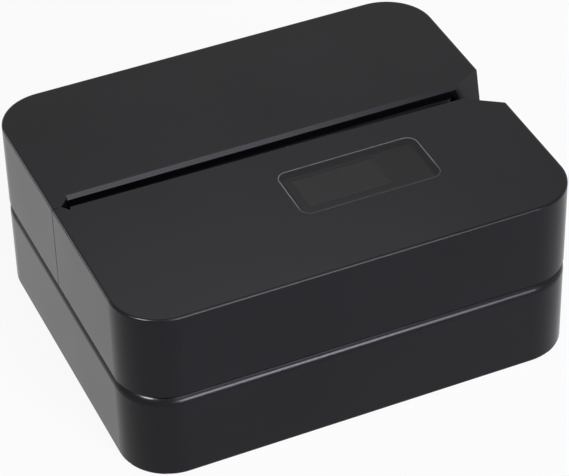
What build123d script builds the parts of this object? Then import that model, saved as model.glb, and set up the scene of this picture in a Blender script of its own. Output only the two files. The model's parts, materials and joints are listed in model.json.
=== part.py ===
"""Disc label printer: a rounded two-storey case with a slot on top for a disc on edge.

Millimetres. X to the right, the front towards -Y, Z up. The origin is on the table,
under the middle of the case. Each physical piece is one STEP file in parts/.
"""
from build123d import *
import math
import os

# ---------------------------------------------------------------- driving dimensions
# Case
CASE_WIDTH = 171.0
CASE_DEPTH = 140.0
CASE_HEIGHT = 70.0
CORNER_RADIUS = 18.6
WALL = 2.2
TOP_WALL = 2.4
FLOOR_WALL = 2.2
TOP_EDGE_RADIUS = 0.9
BOTTOM_EDGE_RADIUS = 0.6
COVER_EDGE_RADIUS = 0.35
OPENING_EDGE_RADIUS = 0.3   # soft edge of the slot and of the window opening
PARTING_EDGE_RADIUS = 0.2
FOOT_HEIGHT = 1.2
FOOT_RECESS = 0.6
FOOT_RADIUS = 6.0
SEAM_HEIGHT = 35.7          # lower edge of the covers, above the case bottom
SEAM_GAP = 0.6
SHOULDER_RADIUS = 3.8       # rounded rim of the lower case under the seam

# Disc that the slot takes
DISC_PLANE_Y = 3.5
CHANNEL_FRONT_Y = 1.4
CHANNEL_REAR_Y = 5.6
GUIDE_THICKNESS = 1.6
GUIDE_RIGHT_X = 73.0
GUIDE_FLARE = (3.1, 2.6)    # the right ends of the guides open out, along X and Y

# Slot and notch in the covers
SLOT_REAR_Y = 6.4
SLOT_LEAD_IN = 1.3
SLOT_LEFT_X = -78.3
SLOT_TIP = (-81.9, 2.5)
SLOT_FRONT_LEFT_Y = 1.15
SLOT_FRONT_RIGHT = (72.0, -1.0)
NOTCH_REAR_START = (73.4, 6.4)
NOTCH_REAR_SLOPE = 0.595    # Y over X, seen from above
NOTCH_FRONT_SLOPE = -0.69
NOTCH_LEAN = 0.267          # Y over depth: the notch narrows as it goes down
NOTCH_CORNER_RADIUS = 4.5
PARTING_REAR_Y = 2.5
PARTING_GAP = 0.35

# Hinge of the front cover
HINGE_Y = -67.5
HINGE_RISE = 6.0            # pin axis above the lower edge of the cover
HINGE_X = 48.0
HINGE_PIN_RADIUS = 0.8
HINGE_FINGER_RADIUS = 1.65
HINGE_FINGER_WIDTH = 3.6
HINGE_SIDE_GAP = 0.3
RUNNING_CLEARANCE = 0.05

# Display in the front cover
WINDOW_X = (-8.0, 46.0)
WINDOW_Y = (-38.5, -13.2)
WINDOW_RADIUS = 4.0
WINDOW_THICKNESS = 1.5
WINDOW_GAP = 0.12
WINDOW_EDGE_RADIUS = 0.2
WINDOW_LEDGE = 2.0
SCREEN_X = (-3.1, 28.8)
SCREEN_Y = (-33.0, -16.5)
SCREEN_RIM = 1.1

# Gears: involute teeth whose flanks are made of short straight facets, 25 degree pressure angle
GEAR_MODULE = 0.8
GEAR_TEETH = 20
PINION_TEETH = 10
PRESSURE_ANGLE = math.radians(25)
ADDENDUM = 0.68
DEDENDUM = 0.88
TOOTH_THINNING = 0.14
GEAR_THICKNESS = 3.8

# Feed rollers
ROLLER_Y = 10.2
ROLLER_SPACING = 32.0
PLATEN_X = 12.0
ROLLER_RADIUS = 6.0
ROLLER_SHAFT_RADIUS = 1.5
PINCH_RADIUS = 3.0
PINCH_SHAFT_RADIUS = 1.0
PINCH_Y = -0.2

# Spools of the ribbon cassette
SPOOL_Y = -23.8
SUPPLY_X = -12.0
TAKEUP_X = 36.0
SPINDLE_RADIUS = 2.4
SPOOL_CORE_RADIUS = 4.0
SUPPLY_ROLL_RADIUS = 9.0
TAKEUP_ROLL_RADIUS = 6.0
RIBBON_Y = 2.75
RIBBON_THICKNESS = 0.12
CASSETTE_WALL = 1.2

# Print head
HEAD_PIVOT = (-13.0, -8.0)
HEAD_PIN_RADIUS = 1.5
HEAD_FACE_Y = 1.6

# Motor
MOTOR_RADIUS = 17.5
MOTOR_SHAFT_RADIUS = 1.0

# Small screws
SCREW_RADIUS = 1.2
SCREW_LENGTH = 4.8
SCREW_HEAD_RADIUS = 2.3
SCREW_HEAD_HEIGHT = 1.6

# Board, sockets and button
BOARD_X = (-62.0, 72.0)
BOARD_Y = (41.5, 65.0)
USB_X = -30.0
DC_X = 34.0
BUTTON_Y = 45.0
BUTTON_HEIGHT = 5.0
BUTTON_WIDTH = 8.6
BUTTON_GAP = 0.3

# ---------------------------------------------------------------- heights, worked out
CASE_BOTTOM = FOOT_HEIGHT
CASE_TOP = CASE_BOTTOM + CASE_HEIGHT
SEAM_Z = CASE_BOTTOM + SEAM_HEIGHT
RIM_TOP = SEAM_Z - SEAM_GAP
FLOOR_Z = CASE_BOTTOM + FLOOR_WALL
CEILING_Z = CASE_TOP - TOP_WALL
DECK_THICKNESS = 2.0
DECK_TOP = RIM_TOP
DECK_BOTTOM = DECK_TOP - DECK_THICKNESS
LEDGE_THICKNESS = 2.0
HINGE_Z = SEAM_Z + HINGE_RISE
GEAR_TOP = DECK_BOTTOM - 1.0
GEAR_BOTTOM = GEAR_TOP - GEAR_THICKNESS
GEAR_PLATE_TOP = GEAR_BOTTOM - 1.1
GEAR_PLATE_BOTTOM = GEAR_PLATE_TOP - 1.6
MOTOR_HEIGHT = 15.6
GUIDE_TOP = CEILING_Z - 2.3
RAIL_TOP = DECK_TOP + 1.6
ROLLER_BOTTOM = DECK_TOP + 6.0
ROLLER_TOP = DECK_TOP + 25.6
FLANGE_TOP = GUIDE_TOP - 0.5
FLANGE_BOTTOM = FLANGE_TOP - 2.0
CASSETTE_BOTTOM = DECK_TOP + 5.5
CASSETTE_TOP = CASSETTE_BOTTOM + 21.0
PINCH_BLOCK_BOTTOM = CASSETTE_TOP + 0.6
ARM_BOTTOM = DECK_TOP + 1.6
ARM_TOP = ARM_BOTTOM + 2.0
DISPLAY_BOARD_TOP = CEILING_Z - 1.4
BOARD_BOTTOM = FLOOR_Z + 5.0
BOARD_TOP = BOARD_BOTTOM + 1.6
BUTTON_Z = BOARD_TOP + 3.5
FEED_LEFT_X = PLATEN_X - ROLLER_SPACING
FEED_RIGHT_X = PLATEN_X + ROLLER_SPACING
PITCH_RADIUS = GEAR_MODULE * GEAR_TEETH / 2
PINION_RADIUS = GEAR_MODULE * PINION_TEETH / 2
MOTOR_Y = ROLLER_Y + PITCH_RADIUS + PINION_RADIUS

# Places of the screws and columns
COLUMNS = [(-71.0, 34.0), (71.0, 34.0), (-71.0, -36.0), (71.0, -36.0)]
GEAR_PLATE_X = (-33.0, 56.0)
GEAR_PLATE_Y = (-37.0, 32.0)
STANDOFFS = [(-29.0, -20.0), (-29.0, 27.0), (52.0, 27.0), (52.0, -33.0)]
BOARD_BOSSES = [(-57.0, 45.0), (-57.0, 61.0), (20.0, 61.0), (56.0, 61.0)]
DISPLAY_BOARD_X = (-9.0, 47.0)
DISPLAY_BOARD_Y = (-41.0, -11.0)
DISPLAY_BOSSES = [(-6.5, -39.5), (44.5, -39.5), (-6.5, -12.0), (44.5, -12.0)]
FEET = [(-66.0, -50.0), (66.0, -50.0), (-66.0, 50.0), (66.0, 50.0)]


# ---------------------------------------------------------------- plain shapes
def block(x, y, z):
    """Box between two values on each axis."""
    middle = Pos((x[0] + x[1]) / 2, (y[0] + y[1]) / 2, (z[0] + z[1]) / 2)
    return middle * Box(x[1] - x[0], y[1] - y[0], z[1] - z[0])


def rod(place, radius, z):
    """Upright cylinder."""
    return Pos(place[0], place[1], (z[0] + z[1]) / 2) * Cylinder(radius, z[1] - z[0])


def tube(place, outer, inner, z):
    """Upright cylinder with a bore."""
    return rod(place, outer, z) - rod(place, inner, (z[0] - 1, z[1] + 1))


def rod_x(x, y, z, radius):
    """Cylinder along X."""
    return Pos((x[0] + x[1]) / 2, y, z) * Rot(0, 90, 0) * Cylinder(radius, x[1] - x[0])


def rod_y(x, y, z, radius):
    """Cylinder along Y."""
    return Pos(x, (y[0] + y[1]) / 2, z) * Rot(90, 0, 0) * Cylinder(radius, y[1] - y[0])


def prism(points, z):
    """Upright prism over an outline."""
    return Pos(0, 0, z[0]) * extrude(make_face(Polyline(*points, close=True)), z[1] - z[0])


def rounded_block(x, y, z, radius):
    """Upright block with rounded corners."""
    outline = RectangleRounded(x[1] - x[0], y[1] - y[0], radius)
    return Pos((x[0] + x[1]) / 2, (y[0] + y[1]) / 2, z[0]) * extrude(outline, z[1] - z[0])


def case_prism(inset, z):
    """The case's plan shape, moved inwards, between two heights."""
    x = (inset - CASE_WIDTH / 2, CASE_WIDTH / 2 - inset)
    y = (inset - CASE_DEPTH / 2, CASE_DEPTH / 2 - inset)
    return rounded_block(x, y, z, CORNER_RADIUS - inset)


def half_space(origin, normal):
    """Large block on the side of a plane that its normal points to."""
    return Plane(origin=origin, z_dir=normal) * Pos(0, 0, 150) * Box(600, 600, 300)


def group(solids):
    """Several separate solids as one piece."""
    return Compound(children=list(solids))


# ---------------------------------------------------------------- lower case and feet
def lower_case():
    """Tray with a rounded rim, screw columns, board bosses and the socket holes."""
    body = case_prism(0, (CASE_BOTTOM, RIM_TOP))
    body = fillet(body.faces().sort_by(Axis.Z)[-1].edges(), SHOULDER_RADIUS)
    body = fillet(body.faces().sort_by(Axis.Z)[0].edges(), BOTTOM_EDGE_RADIUS)
    body -= case_prism(WALL, (FLOOR_Z, DECK_BOTTOM - LEDGE_THICKNESS))
    body -= case_prism(9.0, (FLOOR_Z, RIM_TOP + 1))
    body -= case_prism(6.0, (DECK_BOTTOM, RIM_TOP + 1))
    for place in COLUMNS:
        body += rod(place, 4.4, (FLOOR_Z - 0.1, DECK_BOTTOM))
        body -= rod(place, 3.1, (CASE_BOTTOM - 1, 25.0))
        body -= rod(place, 1.7, (20.0, DECK_BOTTOM + 1))
    for place in BOARD_BOSSES:
        body += rod(place, 2.6, (FLOOR_Z - 0.1, BOARD_BOTTOM))
        body -= rod(place, SCREW_RADIUS, (FLOOR_Z + 1, BOARD_BOTTOM + 1))
    for place in FEET:
        body -= rod(place, FOOT_RADIUS, (CASE_BOTTOM - 1, CASE_BOTTOM + FOOT_RECESS))
    body -= block((USB_X - 6.3, USB_X + 6.3), (60, 75), (BOARD_TOP - 0.3, BOARD_TOP + 11.3))
    body -= block((DC_X - 4.8, DC_X + 4.8), (60, 75), (BOARD_TOP - 0.3, BOARD_TOP + 11.3))
    half_width = BUTTON_WIDTH / 2 + BUTTON_GAP
    half_height = BUTTON_HEIGHT / 2 + BUTTON_GAP
    body -= block(
        (80, 90),
        (BUTTON_Y - half_width, BUTTON_Y + half_width),
        (BUTTON_Z - half_height, BUTTON_Z + half_height),
    )
    return body


def rubber_feet():
    """Four round pads in shallow recesses."""
    pads = []
    for place in FEET:
        pad = rod(place, FOOT_RADIUS, (0, CASE_BOTTOM + FOOT_RECESS))
        pads.append(chamfer(pad.faces().sort_by(Axis.Z)[0].edges(), 0.4))
    return group(pads)


def case_screw(place):
    """Pan-head screw that comes up through a column."""
    head = rod(place, 2.8, (22.9, 25.0))
    shank = rod(place, 1.4, (25.0, DECK_TOP + 5.0))
    slot = block((place[0] - 2, place[0] + 2), (place[1] - 0.4, place[1] + 0.4), (22.0, 23.7))
    return head + shank - slot


# ---------------------------------------------------------------- covers
def cover_shell():
    """The upper storey as one hollow shell, before it is parted."""
    shell = case_prism(0, (SEAM_Z, CASE_TOP))
    shell = fillet(shell.faces().sort_by(Axis.Z)[-1].edges(), TOP_EDGE_RADIUS)
    shell = fillet(shell.faces().sort_by(Axis.Z)[0].edges(), COVER_EDGE_RADIUS)
    return shell - case_prism(WALL, (SEAM_Z - 1, CEILING_Z))


def rear_notch_outside():
    """Everything in front of the notch's rear wall."""
    origin = (NOTCH_REAR_START[0], NOTCH_REAR_START[1], CASE_TOP)
    return half_space(origin, (NOTCH_REAR_SLOPE, -1, NOTCH_LEAN))


def front_notch_outside(offset=0.0):
    """Everything behind the notch's front wall, or behind a plane parallel to it."""
    origin = (SLOT_FRONT_RIGHT[0], SLOT_FRONT_RIGHT[1] - offset, CASE_TOP)
    return half_space(origin, (-NOTCH_FRONT_SLOPE, 1, NOTCH_LEAN))


def top_edges(body, x, y):
    """Edges in the top plane whose middle lies in a rectangle."""
    found = []
    for edge in body.edges():
        middle = edge.center()
        ends = edge.vertices()
        level = all(abs(end.Z - CASE_TOP) < 0.001 for end in ends)
        if level and x[0] < middle.X < x[1] and y[0] < middle.Y < y[1]:
            found.append(edge)
    return found


def is_notch_corner(edge):
    """The leaning edge where the slot's rear face turns into the notch."""
    heights = [end.Z for end in edge.vertices()]
    on_face = all(abs(end.Y - SLOT_REAR_Y) < 0.001 for end in edge.vertices())
    right = edge.center().X > NOTCH_REAR_START[0]
    return on_face and right and max(heights) > CASE_TOP - 0.001 and min(heights) < CASE_TOP - 10


def rear_cover():
    """Fixed cover behind the slot."""
    slot_end = (SLOT_LEFT_X, SLOT_REAR_Y)
    outline = [
        (-100, PARTING_REAR_Y),
        SLOT_TIP,
        slot_end,
        (100, SLOT_REAR_Y),
        (100, 100),
        (-100, 100),
    ]
    region = prism(outline, (0, 100))
    interior = case_prism(WALL / 2, (SEAM_Z + 0.2, CASE_TOP - 1))
    cover = cover_shell()
    lip = [
        SLOT_TIP,
        slot_end,
        (80, SLOT_REAR_Y),
        (80, SLOT_REAR_Y + 2.2),
        (SLOT_LEFT_X - 1.2, SLOT_REAR_Y + 2.2),
        (-84.0, PARTING_REAR_Y + 0.6),
        (-84.0, PARTING_REAR_Y),
    ]
    cover += prism(lip, (GUIDE_TOP + 0.3, CEILING_Z + 0.5)) & interior
    inner_origin = (NOTCH_REAR_START[0], NOTCH_REAR_START[1] + 2.4, CASE_TOP)
    notch_wall = interior - half_space(inner_origin, (-NOTCH_REAR_SLOPE, 1, -NOTCH_LEAN))
    wall_z = (SEAM_Z + 0.2, CASE_TOP - 1)
    cover += notch_wall & block((GUIDE_RIGHT_X + 0.2, 86), (0, 30), wall_z)
    cover += block((GUIDE_RIGHT_X + 0.2, 84.5), (SLOT_REAR_Y, SLOT_REAR_Y + 2.2), wall_z)
    for place in COLUMNS[:2]:
        cover += rod(place, 3.6, (DECK_TOP, CEILING_Z + 0.5))
        cover -= rod(place, 1.4, (DECK_TOP - 1, DECK_TOP + 12))
    cover &= region
    cover -= rear_notch_outside()
    corner = [edge for edge in cover.edges() if is_notch_corner(edge)]
    cover = fillet(corner, NOTCH_CORNER_RADIUS)
    lead_in = [
        (SLOT_REAR_Y, CASE_TOP - SLOT_LEAD_IN),
        (SLOT_REAR_Y, CASE_TOP + 1),
        (SLOT_REAR_Y + SLOT_LEAD_IN + 1, CASE_TOP + 1),
    ]
    section = Plane.YZ * make_face(Polyline(*lead_in, close=True))
    cover -= Pos(SLOT_LEFT_X, 0, 0) * extrude(section, 160)
    parting = top_edges(cover, (-84.5, -79.0), (2.0, 6.0))
    return fillet(parting, PARTING_EDGE_RADIUS)


def front_cover_region():
    """What belongs to the lid, seen from above."""
    parting_y = PARTING_REAR_Y - PARTING_GAP
    outline = [
        (-100, parting_y),
        (SLOT_TIP[0], parting_y),
        (-80.9, 0.95),
        (-79.7, -0.7),
        (-79.2, SLOT_FRONT_LEFT_Y),
        SLOT_FRONT_RIGHT,
        (100, SLOT_FRONT_RIGHT[1] - 0.4),
        (100, -100),
        (-100, -100),
    ]
    return prism(outline, (0, 100))


def hinge_lugs(x):
    """Two lugs inside the front wall, one each side of a hinge finger."""
    reach = HINGE_FINGER_WIDTH / 2 + HINGE_SIDE_GAP
    y = (HINGE_Y - 1.0, HINGE_Y + 1.9)
    z = (HINGE_Z - 1.9, HINGE_Z + 1.9)
    left = block((x - reach - 2.8, x - reach), y, z)
    right = block((x + reach, x + reach + 2.8), y, z)
    return left + right


def hinge_pocket(x):
    """Room in the front wall for one hinge finger, at every lid angle."""
    reach = HINGE_FINGER_WIDTH / 2 + HINGE_SIDE_GAP
    bore = rod_x((x - reach, x + reach), HINGE_Y, HINGE_Z, HINGE_FINGER_RADIUS + 0.3)
    relief_y = (HINGE_Y - HINGE_FINGER_RADIUS - 0.3, HINGE_Y + 3)
    return bore + block((x - reach, x + reach), relief_y, (SEAM_Z - 1, HINGE_Z))


def hinge_pin(x):
    """Steel pin through the lugs and the finger."""
    reach = HINGE_FINGER_WIDTH / 2 + HINGE_SIDE_GAP + 2.6
    return rod_x((x - reach, x + reach), HINGE_Y, HINGE_Z, HINGE_PIN_RADIUS)


def front_cover():
    """Hinged lid in front of the slot, with the window opening."""
    cover = cover_shell()
    interior = case_prism(WALL / 2, (SEAM_Z + 0.2, CASE_TOP - 1))
    slot_lip = block((-79, 80), (-2.4, 3), (GUIDE_TOP + 0.3, CEILING_Z + 0.5))
    left_lip = block((-84, -79), (0.4, 3), (SEAM_Z + 3, CEILING_Z + 0.5))
    cover += (slot_lip + left_lip) & interior
    notch_wall = front_notch_outside(2.6) & interior
    wall_z = (SEAM_Z + 0.2, CASE_TOP - 1)
    cover += notch_wall & block((73, 86), (-14, 0), wall_z)
    cover += block((73, 84.5), (-3.4, 0), wall_z)
    cover &= front_cover_region()
    cover -= front_notch_outside()
    for x in (-HINGE_X, HINGE_X):
        cover += hinge_lugs(x)
        cover -= hinge_pocket(x)
        cover -= hinge_pin(x)
    for place in DISPLAY_BOSSES:
        cover += rod(place, 1.8, (DISPLAY_BOARD_TOP, CEILING_Z + 0.5))
        cover -= rod(place, 0.8, (DISPLAY_BOARD_TOP - 1, CEILING_Z))
    cover -= rounded_block(WINDOW_X, WINDOW_Y, (CASE_TOP - WINDOW_THICKNESS, CASE_TOP + 1), WINDOW_RADIUS)
    inner_x = (WINDOW_X[0] + WINDOW_LEDGE, WINDOW_X[1] - WINDOW_LEDGE)
    inner_y = (WINDOW_Y[0] + WINDOW_LEDGE, WINDOW_Y[1] - WINDOW_LEDGE)
    cover -= rounded_block(inner_x, inner_y, (CEILING_Z - 1, CASE_TOP), WINDOW_RADIUS - WINDOW_LEDGE)
    soft = top_edges(cover, (WINDOW_X[0] - 1, WINDOW_X[1] + 1), (WINDOW_Y[0] - 1, WINDOW_Y[1] + 1))
    soft += top_edges(cover, (-20, 20), (-1, 1))
    return fillet(soft, OPENING_EDGE_RADIUS)


def hinge_bracket(x):
    """Finger that carries the hinge pin, on a post that stands on the deck."""
    half = HINGE_FINGER_WIDTH / 2
    finger_z = (HINGE_Z - HINGE_FINGER_RADIUS, HINGE_Z + HINGE_FINGER_RADIUS)
    bracket = rod_x((x - half, x + half), HINGE_Y, HINGE_Z, HINGE_FINGER_RADIUS)
    bracket += block((x - half, x + half), (HINGE_Y, -57.0), finger_z)
    bracket += block((x - half, x + half), (-60.5, -57.0), (DECK_TOP, finger_z[1]))
    bracket += block((x - 6, x + 6), (-61.5, -51.0), (DECK_TOP, DECK_TOP + 1.6))
    bracket += rod((x, -54.0), 1.8, (DECK_TOP, DECK_TOP + 2.2))
    return bracket - rod_x((x - 5, x + 5), HINGE_Y, HINGE_Z, HINGE_PIN_RADIUS + RUNNING_CLEARANCE)


def cover_catch(side):
    """Springy moulded arm whose nose holds the lid's side wall shut."""
    x = sorted((side * 80.6, side * 82.0))
    nose = sorted((side * 82.0, side * 82.9))
    foot = sorted((side * 74.0, side * 82.0))
    arm = block(x, (-30, -22), (DECK_TOP, 56))
    arm += block(nose, (-30, -22), (53, 55))
    return arm + block(foot, (-30, -22), (DECK_TOP, DECK_TOP + 1.6))


# ---------------------------------------------------------------- display
def display_window():
    """Smoked plate let into the lid, flush with its top."""
    x = (WINDOW_X[0] + WINDOW_GAP, WINDOW_X[1] - WINDOW_GAP)
    y = (WINDOW_Y[0] + WINDOW_GAP, WINDOW_Y[1] - WINDOW_GAP)
    z = (CASE_TOP - WINDOW_THICKNESS, CASE_TOP)
    plate = rounded_block(x, y, z, WINDOW_RADIUS - WINDOW_GAP)
    return fillet(plate.faces().sort_by(Axis.Z)[-1].edges(), WINDOW_EDGE_RADIUS)


def display_frame():
    """Black mask under the window, open over the screen."""
    x = (WINDOW_X[0] + WINDOW_LEDGE + 0.2, WINDOW_X[1] - WINDOW_LEDGE - 0.2)
    y = (WINDOW_Y[0] + WINDOW_LEDGE + 0.2, WINDOW_Y[1] - WINDOW_LEDGE - 0.2)
    top = CASE_TOP - WINDOW_THICKNESS - 0.1
    frame = rounded_block(x, y, (top - 0.8, top), 1.8)
    return frame - block(SCREEN_X, SCREEN_Y, (top - 2, top + 1))


def screen_panel():
    """Liquid-crystal panel under the mask."""
    top = CASE_TOP - WINDOW_THICKNESS - 0.9
    x = (SCREEN_X[0] - SCREEN_RIM, SCREEN_X[1] + SCREEN_RIM)
    y = (SCREEN_Y[0] - SCREEN_RIM, SCREEN_Y[1] + SCREEN_RIM)
    return block(x, y, (DISPLAY_BOARD_TOP, top))


def display_board():
    """Small board that carries the screen, screwed to the lid."""
    z = (DISPLAY_BOARD_TOP - 1.0, DISPLAY_BOARD_TOP)
    board = block(DISPLAY_BOARD_X, DISPLAY_BOARD_Y, z)
    for place in DISPLAY_BOSSES:
        board -= rod(place, 0.9, (z[0] - 1, z[1] + 1))
    return board


def display_screw(place):
    """Small screw under the display board."""
    bottom = DISPLAY_BOARD_TOP - 1.0
    return rod(place, 1.5, (bottom - 0.8, bottom)) + rod(place, 0.8, (bottom, CEILING_Z))


# ---------------------------------------------------------------- gears
def involute(angle):
    return math.tan(angle) - angle


def gear_profile(teeth):
    """Outline of a spur gear with a tooth centred on +X."""
    pitch_radius = GEAR_MODULE * teeth / 2
    base_radius = pitch_radius * math.cos(PRESSURE_ANGLE)
    root_radius = pitch_radius - DEDENDUM
    radii = [root_radius, max(base_radius, root_radius), pitch_radius, pitch_radius + ADDENDUM]
    half_pitch = math.pi / (2 * teeth) - TOOTH_THINNING / (2 * pitch_radius)
    flank = []
    for radius in radii:
        pressure = math.acos(min(1.0, base_radius / radius))
        flank.append((radius, half_pitch + involute(PRESSURE_ANGLE) - involute(pressure)))
    points = []
    for tooth in range(teeth):
        middle = 2 * math.pi * tooth / teeth
        for radius, half in flank:
            points.append((radius * math.cos(middle - half), radius * math.sin(middle - half)))
        for radius, half in reversed(flank):
            points.append((radius * math.cos(middle + half), radius * math.sin(middle + half)))
    return points


def gear(place, teeth, phase, bore):
    """Spur gear in the gear storey, turned so that a tooth points to its phase angle."""
    body = prism(gear_profile(teeth), (GEAR_BOTTOM, GEAR_TOP))
    body -= rod((0, 0), bore, (GEAR_BOTTOM - 1, GEAR_TOP + 1))
    return Pos(place[0], place[1], 0) * Rot(0, 0, phase) * body


def mesh_phase(driver, driver_teeth, driver_phase, place, teeth):
    """Phase, in degrees, that puts a gear's gap on the driver's tooth where they meet."""
    line = math.degrees(math.atan2(place[1] - driver[1], place[0] - driver[0]))
    return line + 180 - (driver_teeth * (driver_phase - line) + 180) / teeth


PLATEN = (PLATEN_X, ROLLER_Y)
FEED_LEFT = (FEED_LEFT_X, ROLLER_Y)
FEED_RIGHT = (FEED_RIGHT_X, ROLLER_Y)
IDLER_LEFT = (PLATEN_X - 2 * PITCH_RADIUS, ROLLER_Y)
IDLER_RIGHT = (PLATEN_X + 2 * PITCH_RADIUS, ROLLER_Y)
IDLER_FRONT = (PLATEN_X, ROLLER_Y - 2 * PITCH_RADIUS)
MOTOR = (PLATEN_X, MOTOR_Y)
SUPPLY = (SUPPLY_X, SPOOL_Y)
TAKEUP = (TAKEUP_X, SPOOL_Y)


def takeup_idler_place():
    """Third corner of the triangle that links the front idler to the take-up gear."""
    across = (TAKEUP[0] - IDLER_FRONT[0], TAKEUP[1] - IDLER_FRONT[1])
    length = math.hypot(*across)
    height = math.sqrt((2 * PITCH_RADIUS) ** 2 - (length / 2) ** 2)
    middle = ((TAKEUP[0] + IDLER_FRONT[0]) / 2, (TAKEUP[1] + IDLER_FRONT[1]) / 2)
    return (middle[0] - across[1] / length * height, middle[1] + across[0] / length * height)


IDLER_TAKEUP = takeup_idler_place()
IDLERS = [IDLER_LEFT, IDLER_RIGHT, IDLER_FRONT, IDLER_TAKEUP]
IDLER_PIN_RADIUS = 1.2


def meshed_gears():
    """Every gear of the train, in mesh at rest: node name to solid."""
    links = [
        ("idler_gear_left", "platen_gear", IDLER_LEFT, GEAR_TEETH),
        ("idler_gear_right", "platen_gear", IDLER_RIGHT, GEAR_TEETH),
        ("idler_gear_front", "platen_gear", IDLER_FRONT, GEAR_TEETH),
        ("motor_pinion", "platen_gear", MOTOR, PINION_TEETH),
        ("feed_gear_left", "idler_gear_left", FEED_LEFT, GEAR_TEETH),
        ("feed_gear_right", "idler_gear_right", FEED_RIGHT, GEAR_TEETH),
        ("idler_gear_takeup", "idler_gear_front", IDLER_TAKEUP, GEAR_TEETH),
        ("takeup_gear", "idler_gear_takeup", TAKEUP, GEAR_TEETH),
    ]
    bores = {
        "platen_gear": ROLLER_SHAFT_RADIUS,
        "feed_gear_left": ROLLER_SHAFT_RADIUS,
        "feed_gear_right": ROLLER_SHAFT_RADIUS,
        "motor_pinion": MOTOR_SHAFT_RADIUS,
        "takeup_gear": SPINDLE_RADIUS,
    }
    idler_bore = IDLER_PIN_RADIUS + RUNNING_CLEARANCE
    placed = {"platen_gear": (PLATEN, GEAR_TEETH, 0.0)}
    gears = {"platen_gear": gear(PLATEN, GEAR_TEETH, 0.0, ROLLER_SHAFT_RADIUS)}
    for name, driver_name, place, teeth in links:
        driver, driver_teeth, driver_phase = placed[driver_name]
        phase = mesh_phase(driver, driver_teeth, driver_phase, place, teeth)
        placed[name] = (place, teeth, phase)
        gears[name] = gear(place, teeth, phase, bores.get(name, idler_bore))
    return gears


def idler_pins():
    """Steel pins that the idler gears turn on."""
    return group(rod(place, IDLER_PIN_RADIUS, (GEAR_PLATE_BOTTOM, DECK_TOP)) for place in IDLERS)


# ---------------------------------------------------------------- deck and gear plate
def chassis_deck():
    """Plate between the storeys that carries the rollers, the head and the cassette."""
    deck = case_prism(6.2, (DECK_BOTTOM, DECK_TOP))
    for place in (PLATEN, FEED_LEFT, FEED_RIGHT):
        deck -= rod(place, ROLLER_SHAFT_RADIUS + RUNNING_CLEARANCE, (DECK_BOTTOM - 1, DECK_TOP + 1))
    deck -= rod(TAKEUP, SPINDLE_RADIUS + RUNNING_CLEARANCE, (DECK_BOTTOM - 1, DECK_TOP + 1))
    for place in IDLERS:
        deck -= rod(place, IDLER_PIN_RADIUS, (DECK_BOTTOM - 1, DECK_TOP + 1))
    for place in COLUMNS:
        deck -= rod(place, 1.7, (DECK_BOTTOM - 1, DECK_TOP + 1))
    for place in COLUMNS[2:]:
        deck += tube(place, 3.6, 1.4, (DECK_TOP, DECK_TOP + 7))
    deck += block((8.0, 20.0), (-21.6, -20.0), (DECK_TOP - 0.1, CASSETTE_BOTTOM - 0.3))
    return deck


def gear_plate():
    """Steel plate under the gears that carries the shaft ends and the motor."""
    z = (GEAR_PLATE_BOTTOM, GEAR_PLATE_TOP)
    cut = (z[0] - 1, z[1] + 1)
    plate = rounded_block(GEAR_PLATE_X, GEAR_PLATE_Y, z, 4)
    for place in (PLATEN, FEED_LEFT, FEED_RIGHT):
        plate -= rod(place, ROLLER_SHAFT_RADIUS + RUNNING_CLEARANCE, cut)
    plate -= rod(TAKEUP, SPINDLE_RADIUS + RUNNING_CLEARANCE, cut)
    plate -= rod(MOTOR, 3.0, cut)
    for place in IDLERS:
        plate -= rod(place, IDLER_PIN_RADIUS, cut)
    for place in STANDOFFS:
        plate -= rod(place, SCREW_RADIUS, cut)
    return plate


def inner_screw(place, seat, up):
    """Small pan-head screw against a seat, pointing up or down."""
    way = 1 if up else -1
    head = sorted((seat, seat - way * SCREW_HEAD_HEIGHT))
    shank = sorted((seat, seat + way * SCREW_LENGTH))
    return rod(place, SCREW_HEAD_RADIUS, head) + rod(place, SCREW_RADIUS, shank)


def inner_screws():
    """Screws of the gear plate and of the main board."""
    screws = [inner_screw(place, GEAR_PLATE_BOTTOM, True) for place in STANDOFFS]
    screws += [inner_screw(place, BOARD_TOP, False) for place in BOARD_BOSSES]
    return group(screws)


def standoff(place):
    """Brass spacer between the gear plate and the deck."""
    spacer = rod(place, 2.6, (GEAR_PLATE_TOP, DECK_BOTTOM))
    return spacer - rod(place, SCREW_RADIUS, (GEAR_PLATE_TOP - 1, GEAR_PLATE_TOP + 4))


# ---------------------------------------------------------------- motor
def stepper_motor():
    """Round stepper can with two mounting ears."""
    z = (GEAR_PLATE_BOTTOM - MOTOR_HEIGHT, GEAR_PLATE_BOTTOM)
    can = rod(MOTOR, MOTOR_RADIUS, z)
    can = fillet(can.faces().sort_by(Axis.Z)[0].edges(), 1.0)
    ears = block((MOTOR[0] - 21.0, MOTOR[0] + 21.0), (MOTOR[1] - 3.5, MOTOR[1] + 3.5), (z[1] - 1.0, z[1]))
    for x in (MOTOR[0] - 19.2, MOTOR[0] + 19.2):
        ears -= rod((x, MOTOR[1]), 1.2, (z[1] - 2, z[1] + 1))
    shaft_bore = rod(MOTOR, MOTOR_SHAFT_RADIUS + RUNNING_CLEARANCE, (z[1] - 5, z[1] + 1))
    return can + ears - shaft_bore


def motor_shaft():
    return rod(MOTOR, MOTOR_SHAFT_RADIUS, (GEAR_PLATE_BOTTOM - 4.5, GEAR_TOP + 0.4))


# ---------------------------------------------------------------- disc path
def disc_rail():
    """Grooved floor that the edge of the disc runs on."""
    rail = block((-77, 82), (CHANNEL_FRONT_Y, CHANNEL_REAR_Y), (DECK_TOP, RAIL_TOP))
    groove = [(-0.9, RAIL_TOP + 0.1), (0.9, RAIL_TOP + 0.1), (0, RAIL_TOP - 0.9)]
    section = Plane.YZ * make_face(Polyline(*groove, close=True))
    return rail - Pos(-80, DISC_PLANE_Y, 0) * extrude(section, 170)


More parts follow.
